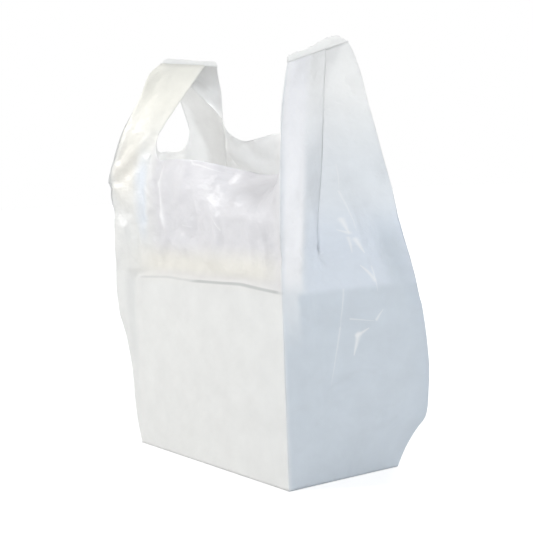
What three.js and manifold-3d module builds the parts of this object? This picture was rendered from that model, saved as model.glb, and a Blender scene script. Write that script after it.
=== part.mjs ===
// A thin plastic carrier bag of the vest kind, standing open on its squared base.
// One gusseted tube of film is sealed along the bottom. A U is cut from its mouth, through the
// front panel, the back panel and the folded gussets, so that two handles are left, and the film
// of each handle is welded together at the top. Millimetres, +Z up, the origin at the centre of
// the base. Film is far thinner than a solid can be drawn, so a wall of 0.6 mm stands in for it.

import * as THREE from 'three';
import { mergeVertices } from 'three/addons/utils/BufferGeometryUtils.js';
import Module from 'manifold-3d';

const wasm = await Module();
wasm.setup();

// Base and body
const baseWidth = 300;
const baseDepth = 146;
const squareHeight = 200; // the flat-faced lower part ends here
const shoulderHeight = 270; // the panels begin to turn into the handles here
const mouthHeight = 345; // bottom of the cut U, measured up the film
const handleHeight = 450; // middle of the left welded band
const wall = 0.6;

// How the film is cut
const stripWidth = 60; // one handle strip, from its fold to its cut edge
const cornerRadius = 32; // corners of the cut U
const slotWidth = 56; // gap that the U leaves in a gusset, along the film
const panelWidth = 312; // front and back panel, laid flat

// How far the folds stand out from the corners of the base. A swing lists shares of that, each
// at its share of the mouth's height.
const frontLeftOut = 25;
const frontLeftForward = 12;
const frontLeftSwing = [[0.3, 0.26], [0.45, 0.35], [0.95, 0.54], [0.92, 0.68], [1.1, 0.9], [0.9, 0.98]];
const backRightOut = 16;
const backRightBack = 33;
const backRightSwing = [[0.25, 0.06], [0.9, 0.16], [1, 0.3], [0.93, 0.44], [0.7, 0.58], [0.37, 0.74]];
const backLeftOut = 5;
const gussetBulge = 8; // the left gusset between its folds
const tuckInset = 6; // the right gusset is tucked behind itself by this much, under its handle

// Where each handle leaves the body
const frontLeftRim = [-158, -76];
const frontRightRim = [149, -66];
const backRightRim = [150, 51];
const backLeftRim = [-163, 72];
const frontSag = 7; // the front of the mouth hangs lower
const backLift = 25; // and the back of it stands higher
const slotLift = 6;
const frontLeftSag = 6; // the film beside the front cut edges hangs too
const frontRightSag = 34;
const backLeftLift = 12; // and beside this back one it stands higher

// Where the folds of the handles bend: along, across, and the share of the way up the handle
const frontLeftBends = [[-147, -55, 0.52], [-141, -47, 0.85]];
const frontRightBends = [[145, -55, 0.52]];
const backRightBends = [[154, 34, 0.62], [156, 22, 0.92]];
const backLeftBends = [[-140, 54, 0.64], [-118, 37, 0.88]];

// Which way each strip points at the mouth, in degrees about the vertical
const frontLeftPanelTurn = 22;
const frontLeftGussetTurn = 100;
const backLeftPanelTurn = -33;
const backLeftGussetTurn = -78;
const frontRightPanelTurn = 125;
const frontRightGussetTurn = 90;
const backRightPanelTurn = -98;
const backRightGussetTurn = -95;

// The welded bands at the top of the handles
const bandWidth = 66;
const bandHeight = 12;
const layerGap = 0.5; // clear space between two film layers there
const bandSkin = 0.5; // weld beyond the outer film layers
const frontLeftTopStrip = 52; // the front strips are gathered narrower there
const frontRightTopStrip = 42;
const leftBand = { centre: [-116, -4], turn: 54, tilt: -5, drop: -2 };
const rightBand = { centre: [150, -17], turn: 75, tilt: 17, drop: 8 };

const baseInset = 0.9; // size of the plain middle of the base, against the whole

// How finely the film is divided
const panelSteps = 3;
const arcSteps = 4;
const stripSteps = 3;
const mouthRows = 5;
const handleRows = 8;
const bodyShares = [0, 0.08, 0.2, 0.34, 0.45, 0.6, 0.74, 0.87, 1]; // rows, up to the shoulder

const halfWidth = baseWidth / 2;
const halfDepth = baseDepth / 2;
const rimHeight = mouthHeight + cornerRadius; // the cut edges stand upright from here
const layerPitch = wall + layerGap;

const radians = (degrees) => (degrees * Math.PI) / 180;
const point = (x, y, z) => new THREE.Vector3(x, y, z);
const heading = (degrees) => point(Math.cos(radians(degrees)), Math.sin(radians(degrees)), 0);
const step = (from, direction, length) => from.clone().addScaledVector(direction, length);
const towards = (from, to) => to.clone().sub(from).normalize();

// A smooth line through stations [key, point], read at any key.
function readLine(stations, key) {
  const last = stations.length - 1;
  let index = 0;
  while (index < last - 1 && key > stations[index + 1][0]) index += 1;
  const slope = (at) => {
    const low = Math.max(at - 1, 0);
    const high = Math.min(at + 1, last);
    const run = stations[high][0] - stations[low][0];
    return stations[high][1].clone().sub(stations[low][1]).divideScalar(run);
  };
  const [from, start] = stations[index];
  const [to, end] = stations[index + 1];
  const t = THREE.MathUtils.clamp((key - from) / (to - from), 0, 1);
  return start.clone().multiplyScalar(2 * t ** 3 - 3 * t ** 2 + 1)
    .addScaledVector(slope(index), (t ** 3 - 2 * t ** 2 + t) * (to - from))
    .addScaledVector(end, 3 * t ** 2 - 2 * t ** 3)
    .addScaledVector(slope(index + 1), (t ** 3 - t ** 2) * (to - from));
}

// A place on a welded band: along it from its middle, and across its film layers.
function onBand(band, along, layer) {
  const middle = point(...band.centre, handleHeight - band.drop);
  const onLine = step(middle, heading(band.turn), along);
  const place = step(onLine, heading(band.turn - 90), layer * layerPitch);
  place.z += along * Math.tan(radians(band.tilt));
  return place;
}

// The places on a fold that swings out from a corner of the base, by shares of its full reach.
function swingOut([x, y], [out, forward], swing) {
  const places = swing.map(([share, up]) => [x + share * out, y + share * forward, up * mouthHeight]);
  return [[x, y, 0], ...places];
}

// A corner fold, with the strip of panel film and the strip of gusset film that it joins.
// `end` is -1 where the fold runs to the near end of its band and 1 where it runs to the far end.
function makeCorner({ band, end, layers, turns, sags, stations, rim, bends, topStrips }) {
  const rimPoint = point(...rim, rimHeight);
  const bandEnd = (end * bandWidth) / 2;
  const fold = stations.map(([x, y, z]) => [z, point(x, y, z)]);
  fold.push([rimHeight, rimPoint]);
  for (const [x, y, share] of bends) {
    const height = THREE.MathUtils.lerp(rimHeight, handleHeight, share);
    fold.push([height, point(x, y, height)]);
  }
  fold.push([handleHeight, onBand(band, bandEnd, (layers.panel + layers.gusset) / 2)]);
  const cut = {};
  for (const kind of ['panel', 'gusset']) {
    const atRim = step(rimPoint, heading(turns[kind]), stripWidth);
    atRim.z += sags[kind];
    cut[kind] = [
      [rimHeight, atRim],
      [handleHeight, onBand(band, bandEnd - end * topStrips[kind], layers[kind])],
    ];
  }
  return { fold, cut, turns, sags };
}

const frontLeft = makeCorner({
  band: leftBand,
  end: -1,
  layers: { panel: 1.5, gusset: 0.5 },
  turns: { panel: frontLeftPanelTurn, gusset: frontLeftGussetTurn },
  sags: { panel: -frontLeftSag, gusset: 0 },
  stations: swingOut([-halfWidth, -halfDepth], [-frontLeftOut, -frontLeftForward], frontLeftSwing),
  rim: frontLeftRim,
  bends: frontLeftBends,
  topStrips: { panel: frontLeftTopStrip, gusset: frontLeftTopStrip },
});

const frontRight = makeCorner({
  band: rightBand,
  end: -1,
  layers: { panel: -1.5, gusset: 1.5 },
  turns: { panel: frontRightPanelTurn, gusset: frontRightGussetTurn },
  sags: { panel: -frontRightSag, gusset: 0 },
  stations: [
    [halfWidth, -halfDepth, 0],
    [halfWidth, -halfDepth, squareHeight],
  ],
  rim: frontRightRim,
  bends: frontRightBends,
  topStrips: { panel: stripWidth, gusset: frontRightTopStrip },
});

const backRight = makeCorner({
  band: rightBand,
  end: 1,
  layers: { panel: -0.5, gusset: 0.5 },
  turns: { panel: backRightPanelTurn, gusset: backRightGussetTurn },
  sags: { panel: 0, gusset: 0 },
  stations: swingOut([halfWidth, halfDepth], [backRightOut, backRightBack], backRightSwing),
  rim: backRightRim,
  bends: backRightBends,
  topStrips: { panel: stripWidth, gusset: stripWidth },
});

const backLeft = makeCorner({
  band: leftBand,
  end: 1,
  layers: { panel: -0.5, gusset: -1.5 },
  turns: { panel: backLeftPanelTurn, gusset: backLeftGussetTurn },
  sags: { panel: backLeftLift, gusset: 0 },
  stations: [
    [-halfWidth, halfDepth, 0],
    [-halfWidth - backLeftOut, halfDepth + backLeftOut, squareHeight],
  ],
  rim: backLeftRim,
  bends: backLeftBends,
  topStrips: { panel: stripWidth, gusset: stripWidth },
});

// The four sides in order round the bag, each from one corner to the next.
const panelOpening = panelWidth - 2 * stripWidth;
const front = { kind: 'panel', from: frontLeft, to: frontRight, lift: -frontSag, opening: panelOpening };
const rightGusset = { kind: 'gusset', from: frontRight, to: backRight, lift: 0, opening: slotWidth };
const back = { kind: 'panel', from: backRight, to: backLeft, lift: backLift, opening: panelOpening };
const leftGusset = { kind: 'gusset', from: backLeft, to: frontLeft, lift: slotLift, opening: slotWidth };
const sides = [front, rightGusset, back, leftGusset];

// The heading of a strip below the shoulder, where it lies in its side of the bag.
function sideHeading(side, corner, height) {
  const near = readLine(corner.fold, height);
  if (side.kind === 'panel') {
    const onBaseLine = point(near.x - Math.sign(near.x) * stripWidth, Math.sign(near.y) * halfDepth, 0);
    return Math.atan2(onBaseLine.y - near.y, onBaseLine.x - near.x);
  }
  const far = readLine((side.from === corner ? side.to : side.from).fold, height);
  return Math.atan2(far.y - near.y, far.x - near.x);
}

// The place on a strip's cut-edge line at a height up the film.
function cutPoint(side, corner, height) {
  if (height >= rimHeight) return readLine(corner.cut[side.kind], height);
  const turn = THREE.MathUtils.smoothstep(height, shoulderHeight, rimHeight);
  const low = sideHeading(side, corner, height);
  const swing = radians(corner.turns[side.kind]) - low;
  const shortWay = Math.atan2(Math.sin(swing), Math.cos(swing));
  const direction = heading(THREE.MathUtils.radToDeg(low + turn * shortWay));
  const place = step(readLine(corner.fold, height), direction, stripWidth);
  place.z += turn * corner.sags[side.kind];
  return place;
}

// The place on a fold line, half a layer towards the strip of the given side.
function foldPoint(side, corner, height) {
  const other = sides.find((one) => one !== side && (one.from === corner || one.to === corner));
  const fold = readLine(corner.fold, height);
  const mine = cutPoint(side, corner, height).sub(fold).setZ(0).normalize();
  const others = cutPoint(other, corner, height).sub(fold).setZ(0).normalize();
  return step(fold, mine.sub(others).normalize(), layerPitch / 2);
}

// The middle of a side. A panel's stays over the edge of the base, and the gussets' move away:
// one swells out, and the other is tucked behind its front half because its slot is closed.
function middlePoint(side, height) {
  const from = cutPoint(side, side.from, height);
  const to = cutPoint(side, side.to, height);
  const middle = from.clone().lerp(to, 0.5);
  if (side.kind === 'panel') middle.y = Math.sign(middle.y) * halfDepth;
  if (side === leftGusset) middle.x -= gussetBulge * THREE.MathUtils.smoothstep(height, 0, shoulderHeight);
  if (side === rightGusset) {
    const gap = Math.abs(to.y - from.y);
    const spare = Math.max(side.opening - gap, 0) / 2;
    const tucked = point(Math.min(from.x, to.x) - tuckInset, from.y - spare, 0);
    middle.lerp(tucked, THREE.MathUtils.smoothstep(height, squareHeight, shoulderHeight));
  }
  middle.z = Math.min(height, mouthHeight);
  middle.z += side.lift * THREE.MathUtils.smoothstep(height, shoulderHeight, mouthHeight);
  return middle;
}

// A point of the film. `across` runs 0 to 4 over a side: fold, cut edge, middle, cut edge, fold.
function filmPoint(side, across, height) {
  const rails = [
    foldPoint(side, side.from, height),
    cutPoint(side, side.from, height),
    middlePoint(side, height),
    cutPoint(side, side.to, height),
    foldPoint(side, side.to, height),
  ];
  const index = Math.min(Math.floor(across), 3);
  if (height >= rimHeight || index === 0 || index === 3) {
    return rails[index].clone().lerp(rails[index + 1], across - index);
  }
  const keys = [0];
  for (let i = 1; i < rails.length; i += 1) keys.push(keys[i - 1] + rails[i].distanceTo(rails[i - 1]));
  const key = THREE.MathUtils.lerp(keys[index], keys[index + 1], across - index);
  return readLine(rails.map((rail, i) => [keys[i], rail]), key);
}

// The columns of a side, each with its place across and the height where its film ends.
function sideColumns({ opening }) {
  const half = opening / 2;
  const lastAngle = Math.acos(1 - Math.min(half / cornerRadius, 1));
  const columns = [];
  for (let i = 0; i <= stripSteps; i += 1) columns.push({ across: i / stripSteps, top: handleHeight });
  for (let i = 1; i <= arcSteps; i += 1) {
    const angle = (lastAngle * i) / arcSteps;
    const inward = cornerRadius * (1 - Math.cos(angle));
    const top = mouthHeight + cornerRadius * (1 - Math.sin(angle));
    columns.push({ across: 1 + inward / half, top });
  }
  const flat = 1 - Math.min(cornerRadius / half, 1);
  const middles = [];
  for (let i = 1; flat > 0 && i < panelSteps; i += 1) {
    middles.push({ across: 2 - flat + (2 * flat * i) / panelSteps, top: mouthHeight });
  }
  const mirrored = columns.map(({ across, top }) => ({ across: 4 - across, top })).reverse();
  if (flat === 0) mirrored.shift();
  return [...columns, ...middles, ...mirrored];
}

// The heights of a column's points, from the base to the mouth or up the handle to its band.
function columnHeights(top) {
  const heights = bodyShares.map((share) => share * shoulderHeight);
  const mouth = Math.min(top, rimHeight);
  for (let i = 1; i <= mouthRows; i += 1) {
    heights.push(THREE.MathUtils.lerp(shoulderHeight, mouth, i / mouthRows));
  }
  for (let i = 1; top === handleHeight && i <= handleRows; i += 1) {
    heights.push(THREE.MathUtils.lerp(rimHeight, handleHeight, i / handleRows));
  }
  return heights;
}

// The film as one sheet without thickness: points, and triangles that face outwards.
function makeSheet() {
  const points = [];
  const triangles = [];
  const columns = [];
  const add = (place) => points.push(place) - 1;
  for (const side of sides) {
    for (const { across, top } of sideColumns(side)) {
      columns.push(columnHeights(top).map((height) => add(filmPoint(side, across, height))));
    }
  }
  const onFloor = ({ x, y }) => point(x * baseInset, y * baseInset, 0);
  const floor = columns.map(([foot]) => add(onFloor(points[foot])));
  columns.forEach((column, i) => {
    const next = (i + 1) % columns.length;
    const beside = columns[next];
    for (let row = 1; row < Math.min(column.length, beside.length); row += 1) {
      triangles.push([column[row - 1], beside[row - 1], beside[row]]);
      triangles.push([column[row - 1], beside[row], column[row]]);
    }
    triangles.push([beside[0], column[0], floor[i]]);
    triangles.push([beside[0], floor[i], floor[next]]);
    if (i > 0 && next > 0) triangles.push([floor[0], floor[next], floor[i]]);
  });
  return { points, triangles };
}

// The sheet given its wall: a skin on each side, joined round every open edge.
function thicken({ points, triangles }) {
  const normals = points.map(() => point(0, 0, 0));
  const edges = new Map();
  for (const corners of triangles) {
    const [a, b, c] = corners.map((index) => points[index]);
    const normal = b.clone().sub(a).cross(c.clone().sub(a));
    corners.forEach((index) => normals[index].add(normal));
    corners.forEach((start, i) => {
      const end = corners[(i + 1) % 3];
      edges.set(`${start} ${end}`, [start, end]);
    });
  }
  normals.forEach((normal) => normal.normalize());
  const lift = point(0, 0, wall / 2);
  const outer = points.map((place, i) => step(place, normals[i], wall / 2).add(lift));
  const inner = points.map((place, i) => step(place, normals[i], -wall / 2).add(lift));
  const count = points.length;
  const faces = [];
  for (const [a, b, c] of triangles) faces.push(a, b, c, count + c, count + b, count + a);
  for (const [a, b] of edges.values()) {
    if (!edges.has(`${b} ${a}`)) faces.push(b, a, count + a, b, count + a, count + b);
  }
  const geometry = new THREE.BufferGeometry().setFromPoints([...outer, ...inner]);
  geometry.setIndex(faces);
  return geometry;
}

// The welded band across the top of a handle, which joins the ends of its four film layers.
function makeBand(band) {
  const along = heading(band.turn).applyAxisAngle(heading(band.turn - 90), radians(band.tilt));
  const across = heading(band.turn - 90);
  const thickness = 3 * layerPitch + wall + 2 * bandSkin;
  const outline = new THREE.Shape();
  const halfLength = bandWidth / 2 + bandSkin;
  outline.moveTo(-halfLength, -bandHeight / 2);
  outline.lineTo(halfLength, -bandHeight / 2);
  outline.lineTo(halfLength, bandHeight / 4);
  outline.lineTo(halfLength - bandHeight / 4, bandHeight / 2);
  outline.lineTo(bandHeight / 4 - halfLength, bandHeight / 2);
  outline.lineTo(-halfLength, bandHeight / 4);
  outline.closePath();
  const geometry = new THREE.ExtrudeGeometry(outline, { depth: thickness, bevelEnabled: false });
  geometry.translate(0, 0, -thickness / 2);
  const place = new THREE.Matrix4().makeBasis(along, across.clone().cross(along), across);
  place.setPosition(...band.centre, handleHeight - band.drop + wall / 2);
  return geometry.applyMatrix4(place);
}

function toSolid(geometry) {
  const bare = geometry.clone();
  bare.deleteAttribute('normal');
  bare.deleteAttribute('uv');
  const merged = mergeVertices(bare, 1e-4);
  const mesh = new wasm.Mesh({
    numProp: 3,
    vertProperties: new Float32Array(merged.attributes.position.array),
    triVerts: new Uint32Array(merged.index.array),
  });
  return new wasm.Manifold(mesh);
}

function toGeometry(solid) {
  const mesh = solid.getMesh();
  const geometry = new THREE.BufferGeometry();
  geometry.setAttribute('position', new THREE.BufferAttribute(new Float32Array(mesh.vertProperties), 3));
  geometry.setIndex(new THREE.BufferAttribute(new Uint32Array(mesh.triVerts), 1));
  geometry.computeVertexNormals();
  return geometry;
}

const film = new THREE.MeshStandardMaterial({ color: 0xe9ecee, roughness: 0.38, metalness: 0 });
const filmSolid = toSolid(thicken(makeSheet()));
const bagSolid = filmSolid.add(toSolid(makeBand(leftBand))).add(toSolid(makeBand(rightBand)));
const bag = new THREE.Mesh(toGeometry(bagSolid), film);
bag.name = 'bag';

const carrierBag = new THREE.Group();
carrierBag.add(bag);

export default carrierBag;
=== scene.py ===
# %% [markdown]
# # A thin plastic carrier bag
# The real thing is one gusseted tube of blown film, milky white and thinner than a hair. It is
# sealed along the bottom, a U is cut from its mouth, and the film left on each side of the U is
# welded together at the top, so that two handles stand up. This bag stands open on its squared
# base, with its corners pushed out. Its sizes below are in millimetres, as on a drawing, and
# become metres where its meshes are made. Only the floor is given in metres.

# %% Load the fixed frame
import math

import bpy
import numpy as np
from mathutils import Matrix, Vector, noise


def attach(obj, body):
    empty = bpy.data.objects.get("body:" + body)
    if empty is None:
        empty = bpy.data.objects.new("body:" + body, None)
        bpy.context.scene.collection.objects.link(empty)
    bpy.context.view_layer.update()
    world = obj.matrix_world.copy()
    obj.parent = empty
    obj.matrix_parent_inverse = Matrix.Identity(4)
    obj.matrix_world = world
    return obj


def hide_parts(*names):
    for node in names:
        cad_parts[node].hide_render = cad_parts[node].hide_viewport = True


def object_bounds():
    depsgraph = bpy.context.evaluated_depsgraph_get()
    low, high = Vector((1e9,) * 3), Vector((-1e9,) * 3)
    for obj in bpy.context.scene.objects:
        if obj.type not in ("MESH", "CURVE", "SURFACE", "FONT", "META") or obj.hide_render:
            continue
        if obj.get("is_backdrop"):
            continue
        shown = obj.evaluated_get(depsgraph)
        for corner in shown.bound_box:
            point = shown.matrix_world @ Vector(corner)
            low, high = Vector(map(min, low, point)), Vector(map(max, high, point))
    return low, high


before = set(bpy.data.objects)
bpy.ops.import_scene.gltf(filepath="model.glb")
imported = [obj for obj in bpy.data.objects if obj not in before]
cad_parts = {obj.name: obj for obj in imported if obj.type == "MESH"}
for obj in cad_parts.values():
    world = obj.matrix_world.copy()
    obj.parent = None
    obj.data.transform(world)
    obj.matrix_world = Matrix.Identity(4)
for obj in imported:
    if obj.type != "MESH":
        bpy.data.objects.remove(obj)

cad_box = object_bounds()
MM = 0.001
print("the frame's box:", [[round(value, 4) for value in corner] for corner in cad_box])

# %% [markdown]
# ## The camera
# The photograph was taken from a little above the bag, off its near right corner. A camera is
# easiest to place by its heading, its tilt and its roll. The three give its own axes, and those
# are the columns of its rotation matrix.

# %% Camera
heading_angle = math.radians(54.78)
tilt_angle = math.radians(4.87)
roll_angle = math.radians(2.181)
camera_place = Vector((1113.2, -770.3, 330.5)) * MM
sensor_width = 36
focal_share = 1200 / 533  # focal length against the picture's width

forward = Vector((
    -math.sin(heading_angle) * math.cos(tilt_angle),
    math.cos(heading_angle) * math.cos(tilt_angle),
    -math.sin(tilt_angle),
))
level = Vector((math.cos(heading_angle), math.sin(heading_angle), 0))
down = forward.cross(level)
right_axis = level * math.cos(roll_angle) + down * math.sin(roll_angle)
down_axis = down * math.cos(roll_angle) - level * math.sin(roll_angle)

camera_data = bpy.data.cameras.new("photo_camera")
camera_data.sensor_width = sensor_width
camera_data.lens = sensor_width * focal_share
camera = bpy.data.objects.new("photo_camera", camera_data)
axes = Matrix((right_axis, -down_axis, -forward)).transposed()
camera.matrix_world = Matrix.Translation(camera_place) @ axes.to_4x4()
bpy.context.scene.collection.objects.link(camera)
bpy.context.scene.camera = camera
print("camera at", [round(value, 3) for value in camera_place], "lens", round(camera_data.lens, 1))

# %% [markdown]
# ## Sizes
# Most of these are the sizes of the plain solid model, with the same names. The bag is 300 mm
# wide and 146 mm deep at its base. Its film, and the gap between two layers, are drawn thinner
# than in that model: 0.26 mm is enough to give two skins and a rim, and still looks like film.

# %% Sizes of the bag
base_width, base_depth = 300, 146
square_height = 200
shoulder_height = 270
mouth_height = 345
handle_height = 450
wall = 0.26
layer_gap = 0.3
layer_pitch = wall + layer_gap

strip_width = 60
corner_radius = 32
slot_width = 56
panel_width = 312
half_width, half_depth = base_width / 2, base_depth / 2
rim_height = mouth_height + corner_radius
panel_opening = panel_width - 2 * strip_width
print("film, laid flat:", panel_width, "mm panels and", 2 * strip_width + slot_width, "mm gussets")

# %% [markdown]
# ## Smooth lines
# Each fold of the bag is a line in space that passes through a few known places. A cubic through
# them, with its slope at a place taken from the places on both sides of it, bends like film does
# and never kinks. The helper reads such a line at many heights at once, because NumPy is far
# quicker than a loop in Python.

# %% Reading a smooth line
def slopes_of(keys, places):
    """The slope of a line at each of its places, from the neighbours on both sides."""
    number = np.arange(keys.shape[-1])
    low, high = np.maximum(number - 1, 0), np.minimum(number + 1, number[-1])
    run = keys[..., high] - keys[..., low]
    return (places[..., high, :] - places[..., low, :]) / run[..., None]


def hermite(start, end, start_slope, end_slope, run, t):
    """The cubic between two places that leaves and arrives with the given slopes."""
    t, run = t[..., None], run[..., None]
    return (
        start * (2 * t**3 - 3 * t**2 + 1)
        + start_slope * (t**3 - 2 * t**2 + t) * run
        + end * (3 * t**2 - 2 * t**3)
        + end_slope * (t**3 - t**2) * run
    )


def read_line(stations, at):
    """The places on a line through stations [key, place], at the keys given."""
    keys = np.array([key for key, _ in stations], float)
    places = np.array([place for _, place in stations], float)
    slopes = slopes_of(keys, places)
    index = np.clip(np.searchsorted(keys, at) - 1, 0, len(keys) - 2)
    run = keys[index + 1] - keys[index]
    t = np.clip((at - keys[index]) / run, 0, 1)
    return hermite(places[index], places[index + 1], slopes[index], slopes[index + 1], run, t)


def smooth_step(value, low, high):
    """A share that rises from 0 at low to 1 at high, gently at both ends."""
    t = np.clip((value - low) / (high - low), 0, 1)
    return t * t * (3 - 2 * t)


def direction(angle):
    """The level directions at these angles, which are in radians."""
    angle = np.asarray(angle, float)
    return np.stack([np.cos(angle), np.sin(angle), np.zeros_like(angle)], -1)


print("a line read half way:", read_line([[0, (0, 0, 0)], [2, (4, 0, 2)]], np.array([1.0]))[0])

# %% [markdown]
# ## The welded bands
# At the top of a handle the four layers of film lie flat on each other and are welded. A band is
# a short straight line in space with a heading and a tilt, and each layer has its own place
# across it. The handles' strips are led to those places.

# %% Where the bands are
band_width = 66
left_band = dict(centre=(-116, -4), turn=54, tilt=-5, drop=-2)
right_band = dict(centre=(150, -17), turn=75, tilt=17, drop=8)


def on_band(band, along, layer):
    """A place on a band: along it from its middle, and across its layers of film."""
    middle = np.array([*band["centre"], handle_height - band["drop"]], float)
    place = middle + direction(math.radians(band["turn"])) * along
    place = place + direction(math.radians(band["turn"] - 90)) * layer * layer_pitch
    place[2] += along * math.tan(math.radians(band["tilt"]))
    return place


print("left band ends at", on_band(left_band, -band_width / 2, 0).round(1))

# %% [markdown]
# ## The four corner folds
# The tube was folded flat when it was made, so a crease runs up each corner, all the way to the
# handle. Each crease carries two strips of film, one of the panel and one of the gusset. A corner
# is described by where its fold stands, and by which way its two strips point at the mouth.

# %% The corners
def make_corner(
    band, end, layers, turns, sags, stations, rim, shoulder=(), reach=None, at_band=None
):
    """A fold line and its two strips. end is -1 or 1, the end of the band that the fold runs to."""
    rim_point = np.array([*rim, rim_height], float)
    band_end = end * band_width / 2
    fold = [[place[2], place] for place in stations]
    fold.append([rim_height, rim_point])
    fold += [[place[2], place] for place in shoulder]
    fold.append([handle_height, on_band(band, band_end, (layers["panel"] + layers["gusset"]) / 2)])
    widths = {kind: [[0, strip_width], [rim_height, strip_width]] for kind in layers}
    widths.update(reach or {})
    top_widths = {kind: strip_width for kind in layers}
    top_widths.update(at_band or {})
    tops = {
        kind: on_band(band, band_end - end * top_widths[kind], layers[kind]) for kind in layers
    }
    return dict(fold=fold, widths=widths, tops=tops, turns=turns, sags=sags)


front_left = make_corner(
    left_band, -1,
    dict(panel=1.5, gusset=0.5), dict(panel=22, gusset=100), dict(panel=-6, gusset=0),
    [
        (-150, -73, 0), (-155, -75, 32), (-158, -77, 91), (-162, -79, 120), (-170, -83, 160),
        (-173.5, -84.5, 185), (-173, -84, 220), (-175, -85, 280), (-178, -87, 305),
        (-178, -87, 322), (-173, -84, 341),
    ],
    (-158, -76), [(-147, -55, 415), (-141, -47, 439), (-138, -41, 447)],
    reach={kind: [[0, 60], [270, 60], [377, 56]] for kind in ("panel", "gusset")},
    at_band=dict(panel=52, gusset=52),
)
front_right = make_corner(
    right_band, -1,
    dict(panel=-1.5, gusset=1.5), dict(panel=125, gusset=90), dict(panel=-34, gusset=0),
    [(150, -73, 0), (150, -73, 200), (150, -70, 295)], (149.5, -65), [(145, -55, 415)],
    reach=dict(gusset=[[0, 60], [90, 60], [212, 42], [272, 46], [345, 53], [377, 53]]),
    at_band=dict(gusset=42),
)
back_right = make_corner(
    right_band, 1,
    dict(panel=-0.5, gusset=0.5), dict(panel=-98, gusset=-92), dict(panel=0, gusset=0),
    [
        (150, 73, 0), (154, 81, 20), (159, 91, 38), (164, 102, 54), (166, 106, 85),
        (166.5, 106.5, 110), (165, 104, 150), (161.5, 97, 200), (156, 85, 255), (153, 74, 300),
    ],
    (150, 51), [(154, 34, 422), (156.5, 22, 444)],
    reach=dict(gusset=[[0, 60], [270, 60], [345, 72], [377, 72]]),
)
back_left = make_corner(
    left_band, 1,
    dict(panel=-0.5, gusset=-1.5), dict(panel=-33, gusset=-78), dict(panel=12, gusset=0),
    [(-150, 73, 0), (-155, 78, 200)], (-163, 72), [(-140, 54, 424), (-118, 37, 441)],
)
near_fold = read_line(front_right["fold"], np.array([225.0]))[0]
print("the near right fold, 225 mm up:", near_fold.round(1))

# %% [markdown]
# ## The four sides
# Between two corners the film hangs from five rails: a fold, a cut edge, the middle of the side,
# the other cut edge and the other fold. Reading all five at one height and running a smooth line
# through them gives a lofted shell rather than flat plates. A panel stays over the edge of the
# base. The gusset under the left handle swells out, and the one under the right handle is
# tucked behind itself, because its slot is closed.

# %% Rails and places on the film
def make_side(kind, start, end, lift, opening):
    """A side between two corners. lift is how far its mouth stands above its flat height."""
    return dict(kind=kind, start=start, end=end, lift=lift, opening=opening)


front = make_side("panel", front_left, front_right, -7, panel_opening)
right_gusset = make_side("gusset", front_right, back_right, 0, slot_width)
back = make_side("panel", back_right, back_left, 25, panel_opening)
left_gusset = make_side("gusset", back_left, front_left, 6, slot_width)
sides = [front, right_gusset, back, left_gusset]
gusset_bulge, tuck_inset, tuck_run = 8, 3, 45


def side_heading(side, corner, height):
    """The heading of a strip below the shoulder, where it lies in its side of the bag."""
    near = read_line(corner["fold"], height)
    if side["kind"] == "panel":
        across = -np.sign(near[:, 0]) * strip_width
        return np.arctan2(np.sign(near[:, 1]) * half_depth - near[:, 1], across)
    other = side["end"] if side["start"] is corner else side["start"]
    far = read_line(other["fold"], height)
    return np.arctan2(far[:, 1] - near[:, 1], far[:, 0] - near[:, 0])


def cut_below_rim(side, corner, height):
    """Places on the line where a strip ends, below the rim of the U."""
    kind = side["kind"]
    turn = smooth_step(height, shoulder_height, rim_height)
    low = side_heading(side, corner, height)
    swing = math.radians(corner["turns"][kind]) - low
    short_way = np.arctan2(np.sin(swing), np.cos(swing))
    width = np.interp(height, *np.array(corner["widths"][kind], float).T)
    below = read_line(corner["fold"], height) + direction(low + turn * short_way) * width[:, None]
    below[:, 2] += turn * corner["sags"][kind]
    return below


def cut_point(side, corner, height):
    """Places on a strip's cut edge, or on the line below it, at heights up the film."""
    below = cut_below_rim(side, corner, np.minimum(height, rim_height))
    lead_in = np.array([rim_height - 25.0, float(rim_height)])
    start, rim = cut_below_rim(side, corner, lead_in)
    upper = [[lead_in[0], start], [lead_in[1], rim], [handle_height, corner["tops"][side["kind"]]]]
    above = read_line(upper, height)
    return np.where((height >= rim_height)[:, None], above, below)


def fold_point(side, corner, height):
    """Places on a fold, half a layer towards the strip of the given side."""
    other = next(s for s in sides if s is not side and corner in (s["start"], s["end"]))
    fold = read_line(corner["fold"], height)
    pull = 0
    for one, sign in ((side, 1), (other, -1)):
        away = cut_point(one, corner, height) - fold
        away[:, 2] = 0
        pull = pull + sign * away / np.linalg.norm(away, axis=1, keepdims=True)
    return fold + pull / np.linalg.norm(pull, axis=1, keepdims=True) * layer_pitch / 2


def middle_point(side, height):
    """Places up the middle of a side."""
    start = cut_point(side, side["start"], height)
    end = cut_point(side, side["end"], height)
    middle = (start + end) / 2
    if side["kind"] == "panel":
        middle[:, 1] = np.sign(middle[:, 1]) * half_depth
    if side is left_gusset:
        middle[:, 0] -= gusset_bulge * smooth_step(height, 0, shoulder_height)
    if side is right_gusset:
        spare = np.maximum(side["opening"] - np.abs(end[:, 1] - start[:, 1]), 0) / 2
        behind = np.minimum(start[:, 0], end[:, 0]) - tuck_inset
        tucked = np.stack([behind, start[:, 1] - spare, middle[:, 2]], -1)
        risen = smooth_step(height, square_height, square_height + tuck_run)
        middle += (tucked - middle) * risen[:, None]
    middle[:, 2] = np.minimum(height, mouth_height)
    middle[:, 2] += side["lift"] * smooth_step(height, shoulder_height, mouth_height)
    return middle


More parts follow.
